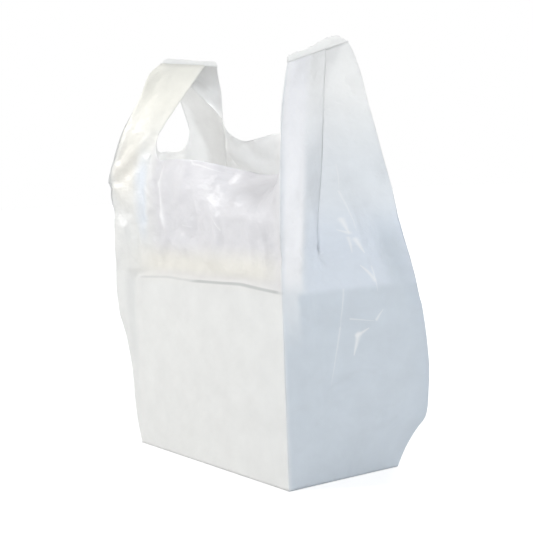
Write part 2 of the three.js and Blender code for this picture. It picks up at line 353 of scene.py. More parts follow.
def film_points(side, across, height):
    """Places on the film of a side. across runs 0 to 4: fold, cut, middle, cut, fold."""
    rails = np.stack([
        fold_point(side, side["start"], height),
        cut_point(side, side["start"], height),
        middle_point(side, height),
        cut_point(side, side["end"], height),
        fold_point(side, side["end"], height),
    ], 1)
    steps = np.linalg.norm(np.diff(rails, axis=1), axis=2)
    keys = np.concatenate([np.zeros((len(rails), 1)), np.cumsum(steps, 1)], 1)
    slopes = slopes_of(keys, rails)
    index = np.minimum(np.floor(across).astype(int), 3)
    row = np.arange(len(rails))
    t = across - index
    run = keys[row, index + 1] - keys[row, index]
    curved = hermite(
        rails[row, index], rails[row, index + 1], slopes[row, index], slopes[row, index + 1], run, t
    )
    straight = rails[row, index] * (1 - t)[:, None] + rails[row, index + 1] * t[:, None]
    in_strip = (index == 0) | (index == 3)
    stiff = np.where(in_strip, smooth_step(height, shoulder_height, rim_height), 0)
    if side is right_gusset:
        stiff = np.maximum(stiff, smooth_step(height, square_height + 4, square_height + 40))
    stiff = stiff[:, None]
    return curved + (straight - curved) * stiff


half_way = film_points(front, np.array([2.0]), np.array([100.0]))[0]
print("middle of the front, 100 mm up:", half_way.round(1))

# %% [markdown]
# ## The film as a grid
# A column of points runs up the film from the base to wherever the film ends: at the U's edge
# or at a band. Because every column is fitted between the base and its own end, the cut edge
# comes out clean, with no need to cut faces. Columns stand closer together beside a fold, so
# that the fold stays crisp once the surface is smoothed.

# %% Columns and rows
strip_columns, arc_columns, panel_columns = 18, 11, 36
beside_fold = 0.022  # the first column after a fold, as a share of the strip
mouth_rows, handle_rows = 34, 26
crease_rows = square_height + np.array([-7, -4, -2, -0.7, 0.3, 1.5, 3, 6, 10])
body_levels = np.concatenate([
    np.linspace(0, 188, 66), crease_rows, np.linspace(213, shoulder_height, 21)
])


def side_columns(side):
    """The columns of a side: where each is across it, and where its film ends."""
    half = side["opening"] / 2
    last_angle = math.acos(1 - min(half / corner_radius, 1))
    columns = [(0.0, handle_height), (beside_fold, handle_height)]
    columns += [(i / strip_columns, handle_height) for i in range(1, strip_columns + 1)]
    for i in range(1, arc_columns + 1):
        angle = last_angle * i / arc_columns
        inward = corner_radius * (1 - math.cos(angle))
        columns.append((1 + inward / half, mouth_height + corner_radius * (1 - math.sin(angle))))
    flat = 1 - min(corner_radius / half, 1)
    inner = [2 - flat + 2 * flat * i / panel_columns for i in range(1, panel_columns)]
    middles = [(across, mouth_height) for across in inner]
    mirrored = [(4 - across, top) for across, top in reversed(columns)]
    if flat == 0:
        middles, mirrored = [], mirrored[1:]
    return columns + middles + mirrored


def column_heights(top):
    mouth = np.linspace(shoulder_height, min(top, rim_height), mouth_rows + 1)[1:]
    handle = np.linspace(rim_height, handle_height, handle_rows + 1)[1:]
    levels = [body_levels, mouth, handle] if top == handle_height else [body_levels, mouth]
    return np.concatenate(levels)


def film_grid():
    """Every point of the film: its place, its side, and where it is on the film laid flat."""
    places, flat_places, side_numbers, columns = [], [], [], []
    count, start_of_side = 0, 0
    for number, side in enumerate(sides):
        width = side["opening"] + 2 * strip_width
        for across, top in side_columns(side):
            heights = column_heights(top)
            places.append(film_points(side, np.full(len(heights), across), heights))
            outer = [0, strip_width, width / 2, width - strip_width, width]
            along = start_of_side + np.interp(across, [0, 1, 2, 3, 4], outer)
            flat_places.append(np.stack([np.full(len(heights), along), heights], -1))
            side_numbers.append(np.full(len(heights), number))
            columns.append(np.arange(count, count + len(heights)))
            count += len(heights)
        start_of_side += width
    joined = [np.concatenate(part) for part in (places, flat_places, side_numbers)]
    return *joined, columns


film, flat_film, film_side, film_columns = film_grid()
flat_round = flat_film[:, 0].max()
print(len(film), "points in", len(film_columns), "columns,", round(flat_round), "mm round")

# %% [markdown]
# ## Faces between the columns
# Neighbouring columns are joined row by row. Quads keep the later smoothing even. The last column
# meets the first again, which closes the tube.

# %% Faces and outward normals
def film_faces():
    quads = []
    for i, column in enumerate(film_columns):
        beside = film_columns[(i + 1) % len(film_columns)]
        rows = min(len(column), len(beside))
        for row in range(1, rows):
            quads.append((column[row - 1], beside[row - 1], beside[row], column[row]))
    return np.array(quads)


film_quads = film_faces()


def outward_normals(points, quads):
    """The normal at every point, as the mean over the faces that meet there."""
    a, b, c, d = (points[quads[:, i]] for i in range(4))
    face = np.cross(c - a, d - b)
    normals = np.zeros_like(points)
    for i in range(4):
        np.add.at(normals, quads[:, i], face)
    return normals / np.maximum(np.linalg.norm(normals, axis=1, keepdims=True), 1e-9)


print(len(film_quads), "quads in one skin")

# %% [markdown]
# ## The squared front
# Over the front of the base the film has been pressed into a flat rectangle, with a sharp and
# slightly wavy crease along its top. Above the crease the film falls back a little and then comes
# forward again to the mouth. To the left of the rectangle it bulges out to the corner fold. This
# is done by moving the points of the front panel only, by their place and their height.

# %% Front crease
crease_wave = np.array([
    (-150, 0), (-128, 2), (-75, 4.5), (-20, 3), (75, 4.6), (118, 1.6), (150, 0)
], float)
crease_fall = np.array([(-150, 0), (-135, 5), (-20, 6), (80, 6.5), (140, 3), (150, 0)], float)


def press_front(points, flat, side):
    moved = points.copy()
    on_front = side == 0
    x, height = points[:, 0], flat[:, 1]
    squared = smooth_step(x, -157, -146) * (1 - smooth_step(height, 199, 214))
    moved[:, 1] += np.where(on_front, squared * (-half_depth - points[:, 1]), 0)
    near_crease = np.exp(-(((height - square_height) / 14) ** 2))
    moved[:, 2] += np.where(on_front, near_crease * np.interp(x, *crease_wave.T), 0)
    above = smooth_step(height, 199.6, 206) * (1 - smooth_step(height, 216, 285))
    moved[:, 1] += np.where(on_front, above * np.interp(x, *crease_fall.T), 0)
    return moved


film = press_front(film, flat_film, film_side)
print("the film above the crease falls back by up to", crease_fall[:, 1].max(), "mm")

# %% [markdown]
# ## Slack film
# Nothing holds film flat once it has been stretched and folded in use. It is loose above the
# squared lower part, it is pulled smooth over the front of the base, and it gathers where the
# handles begin. Two sizes of smooth noise, each with its own share on each part of the bag, move
# the film along its normals.

# %% Slack and gathers
slack_seed = Vector((3.1, 7.7, 1.9))


def noise_at(flat, scale_across, scale_up, offset):
    """Smooth noise over the film laid flat, which runs round without a seam."""
    turn = flat[:, 0] / flat_round * 2 * math.pi
    radius = flat_round / (2 * math.pi)
    values = np.empty(len(flat))
    for i, (angle, up) in enumerate(zip(turn, flat[:, 1])):
        place = Vector((
            math.cos(angle) * radius / scale_across,
            math.sin(angle) * radius / scale_across,
            up / scale_up,
        ))
        values[i] = noise.noise(place + slack_seed * offset)
    return values


def looseness(flat, side):
    """How freely each point of the film may move, from 0, held, to 1."""
    height = flat[:, 1]
    lower = smooth_step(height, 0, 60) * 0.55
    is_front = side == 0
    lower = np.where(is_front, lower * 0.25, lower)
    upper = smooth_step(height, square_height - 10, square_height + 60)
    held_at_band = 1 - smooth_step(height, handle_height - 45, handle_height)
    return np.maximum(lower, upper) * held_at_band * smooth_step(height, 0, 12)


def distance_to_line(flat, line):
    """Each point's distance from a line of places on the flat film, and its share along it."""
    line = np.array(line, float)
    lengths = np.linalg.norm(np.diff(line, axis=0), axis=1)
    passed, best, share = 0.0, np.full(len(flat), 1e9), np.zeros(len(flat))
    for start, end, length in zip(line, line[1:], lengths):
        t = np.clip(((flat - start) @ (end - start)) / length**2, 0, 1)
        gap = np.linalg.norm(flat - (start + t[:, None] * (end - start)), axis=1)
        nearer = gap < best
        best = np.where(nearer, gap, best)
        share = np.where(nearer, (passed + t * length) / lengths.sum(), share)
        passed += length
    return best, share


def stroke(flat, line, half_width, rise):
    """A soft ridge, or a furrow where rise is negative, which fades out at both ends."""
    gap, share = distance_to_line(flat, line)
    fade = np.sqrt(np.clip(4 * share * (1 - share), 0, 1))
    return rise * np.exp(-((gap / half_width) ** 2)) * fade


# Each stroke: its line on the flat film, half its width, and its rise
seen_strokes = [
    ([(52, 380), (30, 350), (8, 322)], 8, 4.5),
    ([(112, 345), (108, 300), (98, 258)], 13, 3.5),
    ([(52, 345), (50, 305), (54, 262)], 12, -4),
    ([(40, 250), (79, 238), (105, 250), (135, 240), (170, 232), (206, 226), (240, 212)], 11, 3.2),
    ([(140, 300), (165, 262), (190, 250)], 16, -3),
    ([(340, 345), (338, 290), (342, 225)], 12, 2.5),
    ([(446, 290), (456, 243), (468, 208), (478, 175)], 13, -5),
    ([(428, 300), (424, 262), (430, 222), (436, 190)], 7, 2.5),
    ([(399, 198), (386, 158), (376, 126), (368, 100)], 4, 1.8),
    ([(368, 98), (385, 103), (400, 108), (426, 108)], 5, -2.6),
    ([(357, 205), (348, 162), (347, 131), (333, 80)], 9, 2.2),
    ([(325, 40), (341, 70), (362, 92)], 9, 2.4),
    ([(430, 66), (442, 54)], 7, 3),
    ([(431, 328), (423, 300), (425, 254)], 2.8, 0.7),
    ([(420, 252), (421, 238)], 2.6, 0.8),
    ([(432, 220), (434, 194)], 2.6, 0.7),
    ([(401, 168), (423, 164)], 2.4, 0.6),
    ([(402, 162), (424, 158)], 2.4, -0.6),
    ([(404, 150), (417, 154)], 2.6, 0.8),
    ([(193, 276), (204, 262)], 2.8, 0.7),
    ([(131, 266), (150, 265)], 2.8, 0.6),
    ([(452, 393), (463, 388)], 2.8, 0.7),
    ([(472, 397), (479, 391)], 2.8, 0.6),
    ([(30, 442), (50, 437)], 2.8, 0.6),
    ([(770, 352), (726, 330), (700, 306)], 8, -5),
]


def unseen_strokes(count, seed):
    """Ridges and furrows for the back and the left, which the photograph doesn't show."""
    chance = np.random.default_rng(seed)
    made = []
    for _ in range(count):
        start = np.array([chance.uniform(510, 960), chance.uniform(40, 335)])
        lean = chance.normal(0, 0.55)
        length = chance.uniform(30, 95)
        run = np.array([math.sin(lean), math.cos(lean)]) * length
        middle = start + [run[0] / 2 + chance.normal(0, 6), run[1] / 2]
        end = start + run
        rise = chance.uniform(1.2, 3.4) * chance.choice([-1, 1])
        made.append(([start, middle, end], chance.uniform(5, 13), rise))
    return made


unseen_count, unseen_seed = 34, 5
broad_height, narrow_height = 2.6, 0.9
all_strokes = seen_strokes + unseen_strokes(unseen_count, unseen_seed)
strokes = sum(stroke(flat_film, *one) for one in all_strokes)

loose = looseness(flat_film, film_side)
broad = noise_at(flat_film, 70, 120, 1)
narrow = 1 - 2 * np.abs(noise_at(flat_film, 26, 60, 2))
slack = loose * (broad_height * broad + narrow_height * (narrow - 0.6))
film_normals = outward_normals(film, film_quads)
strokes *= smooth_step(flat_film[:, 1], 0, 25)
film = film + film_normals * (slack + strokes)[:, None]
print("slack moves the film by up to", round(float(np.abs(slack).max()), 1), "mm")

# %% [markdown]
# ## Letting the film settle
# A real bag finds its own wrinkles: the film is a little larger than the shape that holds it, and
# the spare length buckles. A short cloth simulation does that here, on points that stand 8 mm or
# more apart, which is coarse enough to be quick. The film grows by a little over one percent
# while the base, the welds and the squared front hold it. What it moves is carried over to the
# fine grid, and is capped at a few millimetres, so that the bag keeps its shape. The cloth has no
# collisions, so it does not keep two layers apart.

# %% A coarse film for the simulation
coarse_spacing = 8
settle_frames, settle_growth, settle_cap = 22, 0.013, 2.2
free_give = 0.8  # how much less a free point is held than a fixed one
top_mouth_row = len(body_levels) + mouth_rows - 1
top_row = top_mouth_row + handle_rows


def spaced(values, spacing):
    """The numbers of values, in rising order, that stand at least the spacing apart."""
    chosen = [0]
    for number, value in enumerate(values):
        if value - values[chosen[-1]] >= spacing:
            chosen.append(number)
    return chosen


column_places = np.array([flat_film[column[0], 0] for column in film_columns])
row_places = flat_film[film_columns[0], 1]
coarse_rows = sorted({*spaced(row_places, coarse_spacing), top_mouth_row, top_row})
coarse_picks = spaced(column_places, coarse_spacing)
coarse_columns = [film_columns[number] for number in coarse_picks]


def coarse_film():
    """The points of the coarse film, their number by column and row, and its faces."""
    chosen, number, faces = [], {}, []
    for i, column in enumerate(coarse_columns):
        for j, row in enumerate(coarse_rows):
            if row < len(column):
                number[i, j] = len(chosen)
                chosen.append(column[row])
    for i, j in number:
        corners = [(i, j), ((i + 1) % len(coarse_columns), j)]
        corners += [(corners[1][0], j + 1), (i, j + 1)]
        if all(corner in number for corner in corners):
            faces.append([number[corner] for corner in corners])
    return np.array(chosen), number, faces


coarse_points, coarse_number, coarse_faces = coarse_film()
print("coarse film:", len(coarse_points), "points,", len(coarse_faces), "faces")

# %% Simulate and carry the moves over
def simulate(points, faces, freedom):
    """Where the points of a cloth come to rest. freedom is 0 for a held point, 1 for a free one."""
    mesh = bpy.data.meshes.new("settling")
    mesh.from_pydata((points * MM).tolist(), [], faces)
    cloth = bpy.data.objects.new("settling", mesh)
    bpy.context.scene.collection.objects.link(cloth)
    held = cloth.vertex_groups.new(name="held")
    for index, share in enumerate(freedom):
        held.add([index], 1 - free_give * float(share), "REPLACE")
    modifier = cloth.modifiers.new("cloth", "CLOTH")
    rules = modifier.settings
    rules.vertex_group_mass = "held"
    rules.quality, rules.mass, rules.air_damping = 6, 0.02, 4
    rules.tension_stiffness = rules.compression_stiffness = rules.shear_stiffness = 12
    rules.bending_stiffness = 0.02
    rules.shrink_min = -settle_growth
    rules.effector_weights.gravity = 0.15
    modifier.collision_settings.use_collision = False
    modifier.point_cache.frame_end = settle_frames
    for number in range(1, settle_frames + 1):
        bpy.context.scene.frame_set(number)
    settled = cloth.evaluated_get(bpy.context.evaluated_depsgraph_get()).to_mesh()
    places = np.empty(len(points) * 3)
    settled.vertices.foreach_get("co", places)
    bpy.data.objects.remove(cloth)
    bpy.data.meshes.remove(mesh)
    bpy.context.scene.frame_set(1)
    return places.reshape(-1, 3) / MM


def carry_over(moves):
    """The moves of the coarse film, read between its points for every point of the film."""
    table = np.zeros((len(coarse_columns), len(coarse_rows), 3))
    for i in range(len(coarse_columns)):
        for j in range(len(coarse_rows)):
            known = (i, j) in coarse_number
            table[i, j] = moves[coarse_number[i, j]] if known else table[i, j - 1]
    carried = np.zeros_like(film)
    limits = np.append(column_places[coarse_picks], flat_round)
    for place, column in zip(column_places, film_columns):
        i = min(np.searchsorted(limits, place, side="right") - 1, len(coarse_columns) - 1)
        share = smooth_step(place, limits[i], limits[i + 1])
        beside = (i + 1) % len(coarse_columns)
        mixed = table[i] * (1 - share) + table[beside] * share
        heights = flat_film[column, 1]
        known = heights[np.minimum(coarse_rows, len(column) - 1)]
        by_axis = [np.interp(heights, known, mixed[:, axis]) for axis in range(3)]
        carried[column] = np.stack(by_axis, -1)
    return carried


def settle(points):
    """The film after its simulation. The handles and the tucked gusset move less than the rest."""
    height = flat_film[:, 1]
    at_handles = smooth_step(height, mouth_height - 20, rim_height)
    tucked = (film_side == 1) * smooth_step(height, square_height + 20, shoulder_height)
    freedom = looseness(flat_film, film_side) * (1 - 0.6 * at_handles)
    freedom = freedom * (1 - 0.75 * tucked)
    start = points[coarse_points]
    moves = simulate(start, coarse_faces, freedom[coarse_points]) - start
    size = np.linalg.norm(moves, axis=1, keepdims=True)
    moves *= np.minimum(1, settle_cap / np.maximum(size, 1e-6))
    print("the cloth moved by", size.mean().round(2), "mm on average and at most",
          size.max().round(1), "mm, which is capped at", settle_cap, "mm")
    return points + carry_over(moves) * freedom[:, None] ** 0.5


film = settle(film)

# %% [markdown]
# ## The base
# The film turns under at the bottom edges and lies flat on the ground. Rings of points, each a
# little smaller than the last, close it. The middle of a thin base is never quite flat, so the
# rings rise and fall by a few tenths of a millimetre.

# %% Base rings
base_shares = [0.985, 0.93, 0.8, 0.6, 0.4, 0.2]
base_unevenness = 0.25
base_offset, weld_offset = 2500, 3000  # their places on the UV map, clear of the film's


def add_base(points, flat):
    """The film with rings of points inside its foot, and the faces between them."""
    feet = np.array([column[0] for column in film_columns])
    foot_places = points[feet] * [1, 1, 0]
    all_points, all_flat, rings = [points], [flat], [feet]
    count = len(points)
    for share in base_shares:
        ring = foot_places * share
        rises = [1 + noise.noise(Vector((x, y, 0)) / 22) for x, y, _ in ring]
        ring[:, 2] = [base_unevenness * (1 - share) * rise for rise in rises]
        all_points.append(ring)
        all_flat.append(ring[:, :2] + [base_offset, 0])
        rings.append(np.arange(count, count + len(ring)))
        count += len(ring)
    all_points.append(np.zeros((1, 3)))
    all_flat.append(np.array([[base_offset, 0.0]]))
    quads, fans = [], []
    around = len(feet)
    for outer, inner in zip(rings, rings[1:]):
        for i in range(around):
            j = (i + 1) % around
            quads.append((outer[j], outer[i], inner[i], inner[j]))
    for i in range(around):
        fans.append((rings[-1][(i + 1) % around], rings[-1][i], count))
    return np.concatenate(all_points), np.concatenate(all_flat), np.array(quads), np.array(fans)


skin_points, skin_flat, base_quads, base_fans = add_base(film, flat_film)
print(len(base_quads) + len(base_fans), "faces in the base")

# %% [markdown]
# ## Two skins
# A single sheet of faces has no edge and no thickness. The shell repeats it on each side of the
# middle surface, half a wall out and half a wall in, and joins the two round the open mouth.

# %% The shell
def thicken(points, quads, fans):
    faces = [tuple(face) for face in quads] + [tuple(face) for face in fans]
    normals = np.zeros_like(points)
    edges = {}
    for face in faces:
        corners = points[list(face)]
        normal = np.cross(corners[2] - corners[0], corners[-1] - corners[1])
        for k, index in enumerate(face):
            normals[index] += normal
            edges[(index, face[(k + 1) % len(face)])] = True
    normals /= np.maximum(np.linalg.norm(normals, axis=1, keepdims=True), 1e-9)
    lift = [0, 0, wall / 2]
    both = np.concatenate([points + normals * wall / 2 + lift, points - normals * wall / 2 + lift])
    count = len(points)
    shell = list(faces)
    shell += [tuple(count + index for index in reversed(face)) for face in faces]
    rim = [(b, a, count + a, count + b) for a, b in edges if (b, a) not in edges]
    return both, shell + rim, len(rim)


all_quads = np.concatenate([film_quads, base_quads])
shell_points, shell_faces, rim_faces = thicken(skin_points, all_quads, base_fans)
print(len(shell_faces), "faces in the shell,", rim_faces, "of them round the mouth")

# %% [markdown]
# ## From points to a mesh
# Blender takes a mesh straight from lists of points and faces. The film laid flat is kept as a
# UV map, in metres, so that creases and crinkles in the material follow the film wherever it
# goes.

# %% Mesh helpers
def make_mesh(name, points, faces, flat=None, wrap=None):
    """An object at the origin, with its place in its mesh and the flat film as its UV map."""
    mesh = bpy.data.meshes.new(name)
    rows = [[int(i) for i in face] for face in faces]
    mesh.from_pydata((np.asarray(points) * MM).tolist(), [], rows)
    mesh.polygons.foreach_set("use_smooth", [True] * len(mesh.polygons))
    if flat is not None:
        corners = np.empty(len(mesh.loops), int)
        mesh.loops.foreach_get("vertex_index", corners)
        uv = np.asarray(flat)[corners] * MM
        if wrap is not None:
            starts = np.array([polygon.loop_start for polygon in mesh.polygons])
            totals = np.array([polygon.loop_total for polygon in mesh.polygons])
            owner = np.repeat(np.arange(len(starts)), totals)
            highest = np.maximum.reduceat(uv[:, 0], starts)[owner]
            on_wall = highest < wrap * MM * 1.01
            crossing = on_wall & (highest - uv[:, 0] > wrap * MM / 2)
            uv[crossing, 0] += wrap * MM
        layer = mesh.uv_layers.new(name="film")
        layer.data.foreach_set("uv", uv.ravel())
    mesh.update()
    made = bpy.data.objects.new(name, mesh)
    bpy.context.scene.collection.objects.link(made)
    return made


both_flat = np.concatenate([skin_flat, skin_flat])
bag_film = make_mesh("bag_film", shell_points, shell_faces, both_flat, flat_round)
print("bag_film:", len(bag_film.data.vertices), "points")

# %% [markdown]
# ## The welded bands as pieces
# The weld squeezes the four layers into one narrow strip with a fine cross ribbing from the
# jaws of the sealing bar. Its cut edge is straight on the left handle. On the right handle the
# film was torn off a pack, so that edge is ragged.

# %% Bands
band_height, band_foot = 12, -1.2
band_columns, band_rows = 90, 8
rib_height, rib_pitch = 0.1, 1.7


def band_top(s, ragged, near_round, far_round, hump):
    """The height of a band's upper edge: torn, humped, and rounded at both ends."""
    tear = noise.noise(Vector((s / 5, 1.7, 0))) + 0.5 * noise.noise(Vector((s / 1.8, 4.2, 0)))
    top = band_height / 2 + ragged * tear + hump * math.exp(-(((s - 12) / 13) ** 2))
    radius = near_round if s < 0 else far_round
    past = min(max(abs(s) - (band_width / 2 - radius), 0), radius)
    top -= radius - math.sqrt(radius**2 - past**2)
    return max(top, band_foot + 0.6)


def make_band(name, band, ragged, near_round, far_round, hump):
    """A weld as a closed strip with two ribbed skins, thicker at its foot."""
    across = direction(math.radians(band["turn"] - 90))
    points, faces = [], []
    for skin in (1, -1):
        for i in range(band_columns + 1):
            s = (i / band_columns - 0.5) * (band_width + 1)
            top = band_top(s, ragged, near_round, far_round, hump)
            for j in range(band_rows + 1):
                up = band_foot + (top - band_foot) * j / band_rows
                jaws = smooth_step(up, -0.2, 0.6) * (1 - smooth_step(up, 2.6, 3.4))
                rib = rib_height * math.sin(s * 2 * math.pi / rib_pitch) * jaws
                thick = 1.02 - 0.7 * smooth_step(up, -0.6, 2.2)
                place = on_band(band, s, 0) + across * skin * (thick + float(rib))
                points.append(place + [0, 0, up])

    def quad(*corners):
        column = band_rows + 1
        skin_size = (band_columns + 1) * column
        faces.append([skin * skin_size + i * column + j for skin, i, j in corners])

    far, high = band_columns, band_rows
    for i in range(far):
        for j in range(high):
            quad((0, i, j), (0, i + 1, j), (0, i + 1, j + 1), (0, i, j + 1))
            quad((1, i, j), (1, i, j + 1), (1, i + 1, j + 1), (1, i + 1, j))
        quad((0, i, 0), (1, i, 0), (1, i + 1, 0), (0, i + 1, 0))
        quad((0, i, high), (0, i + 1, high), (1, i + 1, high), (1, i, high))
    for j in range(high):
        quad((0, 0, j), (0, 0, j + 1), (1, 0, j + 1), (1, 0, j))
        quad((0, far, j), (1, far, j), (1, far, j + 1), (0, far, j + 1))
    one_skin = [[weld_offset + i, j] for i in range(far + 1) for j in range(high + 1)]
    made = make_mesh(name, points, faces, np.array(one_skin * 2, float))
    print(name, "has", len(faces), "faces")
    return made


left_weld = make_band("left_weld", left_band, 0.5, 8, 5, -1)
right_weld = make_band("right_weld", right_band, 1.4, 1, 12, 4.5)

# %% [markdown]
# ## Under and in the base
# The tube is closed by a straight seal across the bottom. Once the bag stands on a squared base,
# the seal lies flat under the middle of it, and the two gussets lie inside as flat triangles. Both
# are thin sheets, so one helper makes them from an outline.

# %% Bottom seal and gusset triangles
def make_sheet(name, outlines, low, high):
    """Flat sheets from level outlines, which run anticlockwise, between two heights."""
    points, faces = [], []
    for outline in outlines:
        first, count = len(points), len(outline)
        points += [(x, y, z) for z in (low, high) for x, y in outline]
        faces.append([first + i for i in reversed(range(count))])
        faces.append([first + count + i for i in range(count)])
        for i in range(count):
            j = (i + 1) % count
            faces.append([first + i, first + j, first + count + j, first + count + i])
    points = np.array(points, float)
    return make_mesh(name, points, faces, points[:, :2] + [base_offset, 0])


seal_width, triangle_depth = 6, 72
seal_outline = [(-half_width, -seal_width / 2), (half_width, -seal_width / 2),
                (half_width, seal_width / 2), (-half_width, seal_width / 2)]
corner_x, corner_y = half_width - 1, half_depth - 2
right_triangle = [(corner_x, -corner_y), (corner_x, corner_y), (corner_x - triangle_depth, 0)]
left_triangle = [(-x, -y) for x, y in right_triangle]
bottom_seal = make_sheet("bottom_seal", [seal_outline], 0.0, 0.2)
gusset_triangles = make_sheet("gusset_triangles", [right_triangle, left_triangle], 0.85, 1.05)
print("bottom seal:", 2 * half_width, "x", seal_width, "mm")

# %% [markdown]
# ## The film's surface
# High-density film is milky. Part of the light scatters back, part passes through to the layer
# behind, and the skin has a soft gloss. So the material mixes a Principled shader with a
# Translucent one. The crinkles are far finer than the mesh, so they are bump, laid out on the
# film's own UV map. Two node groups make it: one for the wrinkles and crackle that run all over,
# and one for a painted glint, a thin white line of painted highlight in the film's colour, which
# is placed once for each sharp glint that the real bag shows.

# %% Node helpers
def new_group(name, inputs, outputs):
    """A shader node group with named sockets, and its input and output nodes."""
    group = bpy.data.node_groups.new(name, "ShaderNodeTree")
    for socket_name, kind, value in inputs:
        socket = group.interface.new_socket(socket_name, in_out="INPUT", socket_type=kind)
        if value is not None:
            socket.default_value = value
    for socket_name, kind in outputs:
        group.interface.new_socket(socket_name, in_out="OUTPUT", socket_type=kind)
    return group, group.nodes.new("NodeGroupInput"), group.nodes.new("NodeGroupOutput")


def feed(tree, socket, value):
    """Give a socket a value, or another socket's output. Colours are given without an alpha."""
    if isinstance(value, bpy.types.NodeSocket):
        tree.links.new(value, socket)
    else:
        socket.default_value = (*value, 1) if socket.type == "RGBA" else value


def add_node(tree, kind, given=(), **settings):
    """A node whose settings are made first. Its sockets are fed after that, by name or number."""
    node = tree.nodes.new(kind)
    for name, value in settings.items():
        setattr(node, name, value)
    for socket, value in dict(given).items():
        feed(tree, node.inputs[socket], value)
    return node


def calculate(tree, operation, *values, clamp=False):
    settings = dict(operation=operation, use_clamp=clamp)
    return add_node(tree, "ShaderNodeMath", enumerate(values), **settings).outputs[0]


def calculate_vector(tree, operation, *values, output="Vector"):
    node = add_node(tree, "ShaderNodeVectorMath", enumerate(values), operation=operation)
    return node.outputs[output]


def noise_texture(tree, vector, scale, detail, roughness):
    given = {"Vector": vector, "Scale": scale, "Detail": detail, "Roughness": roughness}
    return add_node(tree, "ShaderNodeTexNoise", given).outputs["Fac"]


def map_range(tree, *values):
    """A value mapped smoothly. The values are: it, its low and high, and what they become."""
    given = enumerate(values)
    return add_node(tree, "ShaderNodeMapRange", given, interpolation_type="SMOOTHSTEP").outputs[0]


def mix_shaders(tree, share, first, second):
    return add_node(tree, "ShaderNodeMixShader", {0: share, 1: first, 2: second}).outputs[0]


def emptied(block):
    """The node tree of a material or a world, with nothing in it."""
    block.use_nodes = True
    block.node_tree.nodes.clear()
    return block.node_tree


print("node helpers are ready")

# %% Wrinkles and crackle
def wrinkle_group():
    """Heights in millimetres: long soft wrinkles, and finer crackle over all of them."""
    tree, given, result = new_group(
        "crinkled film",
        [
            ("Vector", "NodeSocketVector", None),
            ("Wrinkle height", "NodeSocketFloat", 4.0),
            ("Crackle height", "NodeSocketFloat", 0.5),
        ],
        [("Height", "NodeSocketFloat")],
    )
    vector = given.outputs["Vector"]
    stretched = calculate_vector(tree, "MULTIPLY", vector, (1.0, 0.42, 1.0))
    soft = noise_texture(tree, stretched, 26.0, 1.5, 0.45)
    wrinkles = calculate(tree, "MULTIPLY", soft, given.outputs["Wrinkle height"])
    fine = noise_texture(tree, vector, 90.0, 2.0, 0.6)
    crackle = calculate(tree, "MULTIPLY", fine, given.outputs["Crackle height"])
    feed(tree, result.inputs["Height"], calculate(tree, "ADD", wrinkles, crackle))
    return tree


wrinkles = wrinkle_group()
print("wrinkle group:", len(wrinkles.nodes), "nodes")

# %% One painted glint line
def glint_line_group():
    """Mask of a painted glint: how near the film is to a line between two places, from 0 to 1."""
    tree, given, result = new_group(
        "painted glint line",
        [
            ("Vector", "NodeSocketVector", None),
            ("Start", "NodeSocketVector", (0, 0, 0)),
            ("End", "NodeSocketVector", (0, 0.01, 0)),
            ("Half width", "NodeSocketFloat", 0.002),
            ("Strength", "NodeSocketFloat", 1.0),
        ],
        [("Mask", "NodeSocketFloat")],
    )
    start, half_width = given.outputs["Start"], given.outputs["Half width"]
    along = calculate_vector(tree, "SUBTRACT", given.outputs["End"], start)
    offset = calculate_vector(tree, "SUBTRACT", given.outputs["Vector"], start)
    whole = calculate_vector(tree, "DOT_PRODUCT", along, along, output="Value")
    part = calculate_vector(tree, "DOT_PRODUCT", offset, along, output="Value")
    share = calculate(tree, "DIVIDE", part, whole, clamp=True)
    scaled = add_node(
        tree, "ShaderNodeVectorMath", {0: along, "Scale": share}, operation="SCALE"
    ).outputs["Vector"]
    gap = calculate_vector(tree, "DISTANCE", offset, scaled, output="Value")
    wide = calculate(tree, "MULTIPLY", half_width, calculate(tree, "SUBTRACT", 1.25, share))
    near = calculate(tree, "SUBTRACT", 1.0, calculate(tree, "DIVIDE", gap, wide), clamp=True)
    mask = calculate(tree, "MULTIPLY", near, given.outputs["Strength"])
    feed(tree, result.inputs["Mask"], mask)
    return tree


# The node group of one painted glint, a line of painted highlight
crease = glint_line_group()

# Each painted glint, a line of painted highlight on a crease: its wider end and its narrow
# end on the flat film, half its width, and its strength
painted_glints = [
    ((431, 327), (424, 303), 1.3, 0.5), ((423, 300), (426, 258), 1.2, 0.6),
    ((418, 271), (421, 257), 2.6, 1.0), ((421, 257), (414, 261), 2.0, 0.8),
    ((424, 250), (428, 235), 2.4, 1.0), ((420, 252), (421, 236), 1.5, 0.8),
    ((432, 206), (423, 222), 2.6, 1.0), ((432, 220), (434, 194), 1.3, 0.8),
    ((398, 199), (387, 160), 1.2, 0.6), ((387, 160), (369, 102), 1.2, 0.6),
    ((427, 164), (437, 174), 1.8, 0.9), ((400, 168), (424, 163), 1.1, 0.8),
    ((406, 151), (398, 130), 3.2, 1.0), ((404, 150), (418, 156), 2.6, 1.0),
    ((157, 341), (188, 337), 1.6, 0.8), ((151, 348), (160, 339), 2.0, 0.7),
    ((205, 262), (193, 277), 1.6, 0.8), ((134, 266), (150, 264), 1.2, 0.6),
    ((453, 393), (464, 387), 1.5, 0.7), ((478, 391), (472, 398), 1.8, 0.7),
]
print("crease group:", len(crease.nodes), "nodes, placed", len(painted_glints), "times")

# %% [markdown]
# ## Tints and painted light
# The film's tone is not even. A few patches of colour, placed on the flat film with soft edges,
# paint light and shade into it: painted light on the handles, the back and parts of the front,
# where light falls straight on the film or comes through it, and painted shade on the upper
# front, on the right gusset and along the front crease, where light is lost behind it. They are
# painted, so they stay as they are when the light or the view changes.

# %% Tints of the film
def mix_colour(tree, factor, first, second, blend="MIX"):
    """Two colours mixed. Of the many sockets of the node, 6 and 7 are those for colours."""
    given = {0: factor, 6: first, 7: second}
    node = add_node(tree, "ShaderNodeMix", given, data_type="RGBA", blend_type=blend)
    return node.outputs[2]


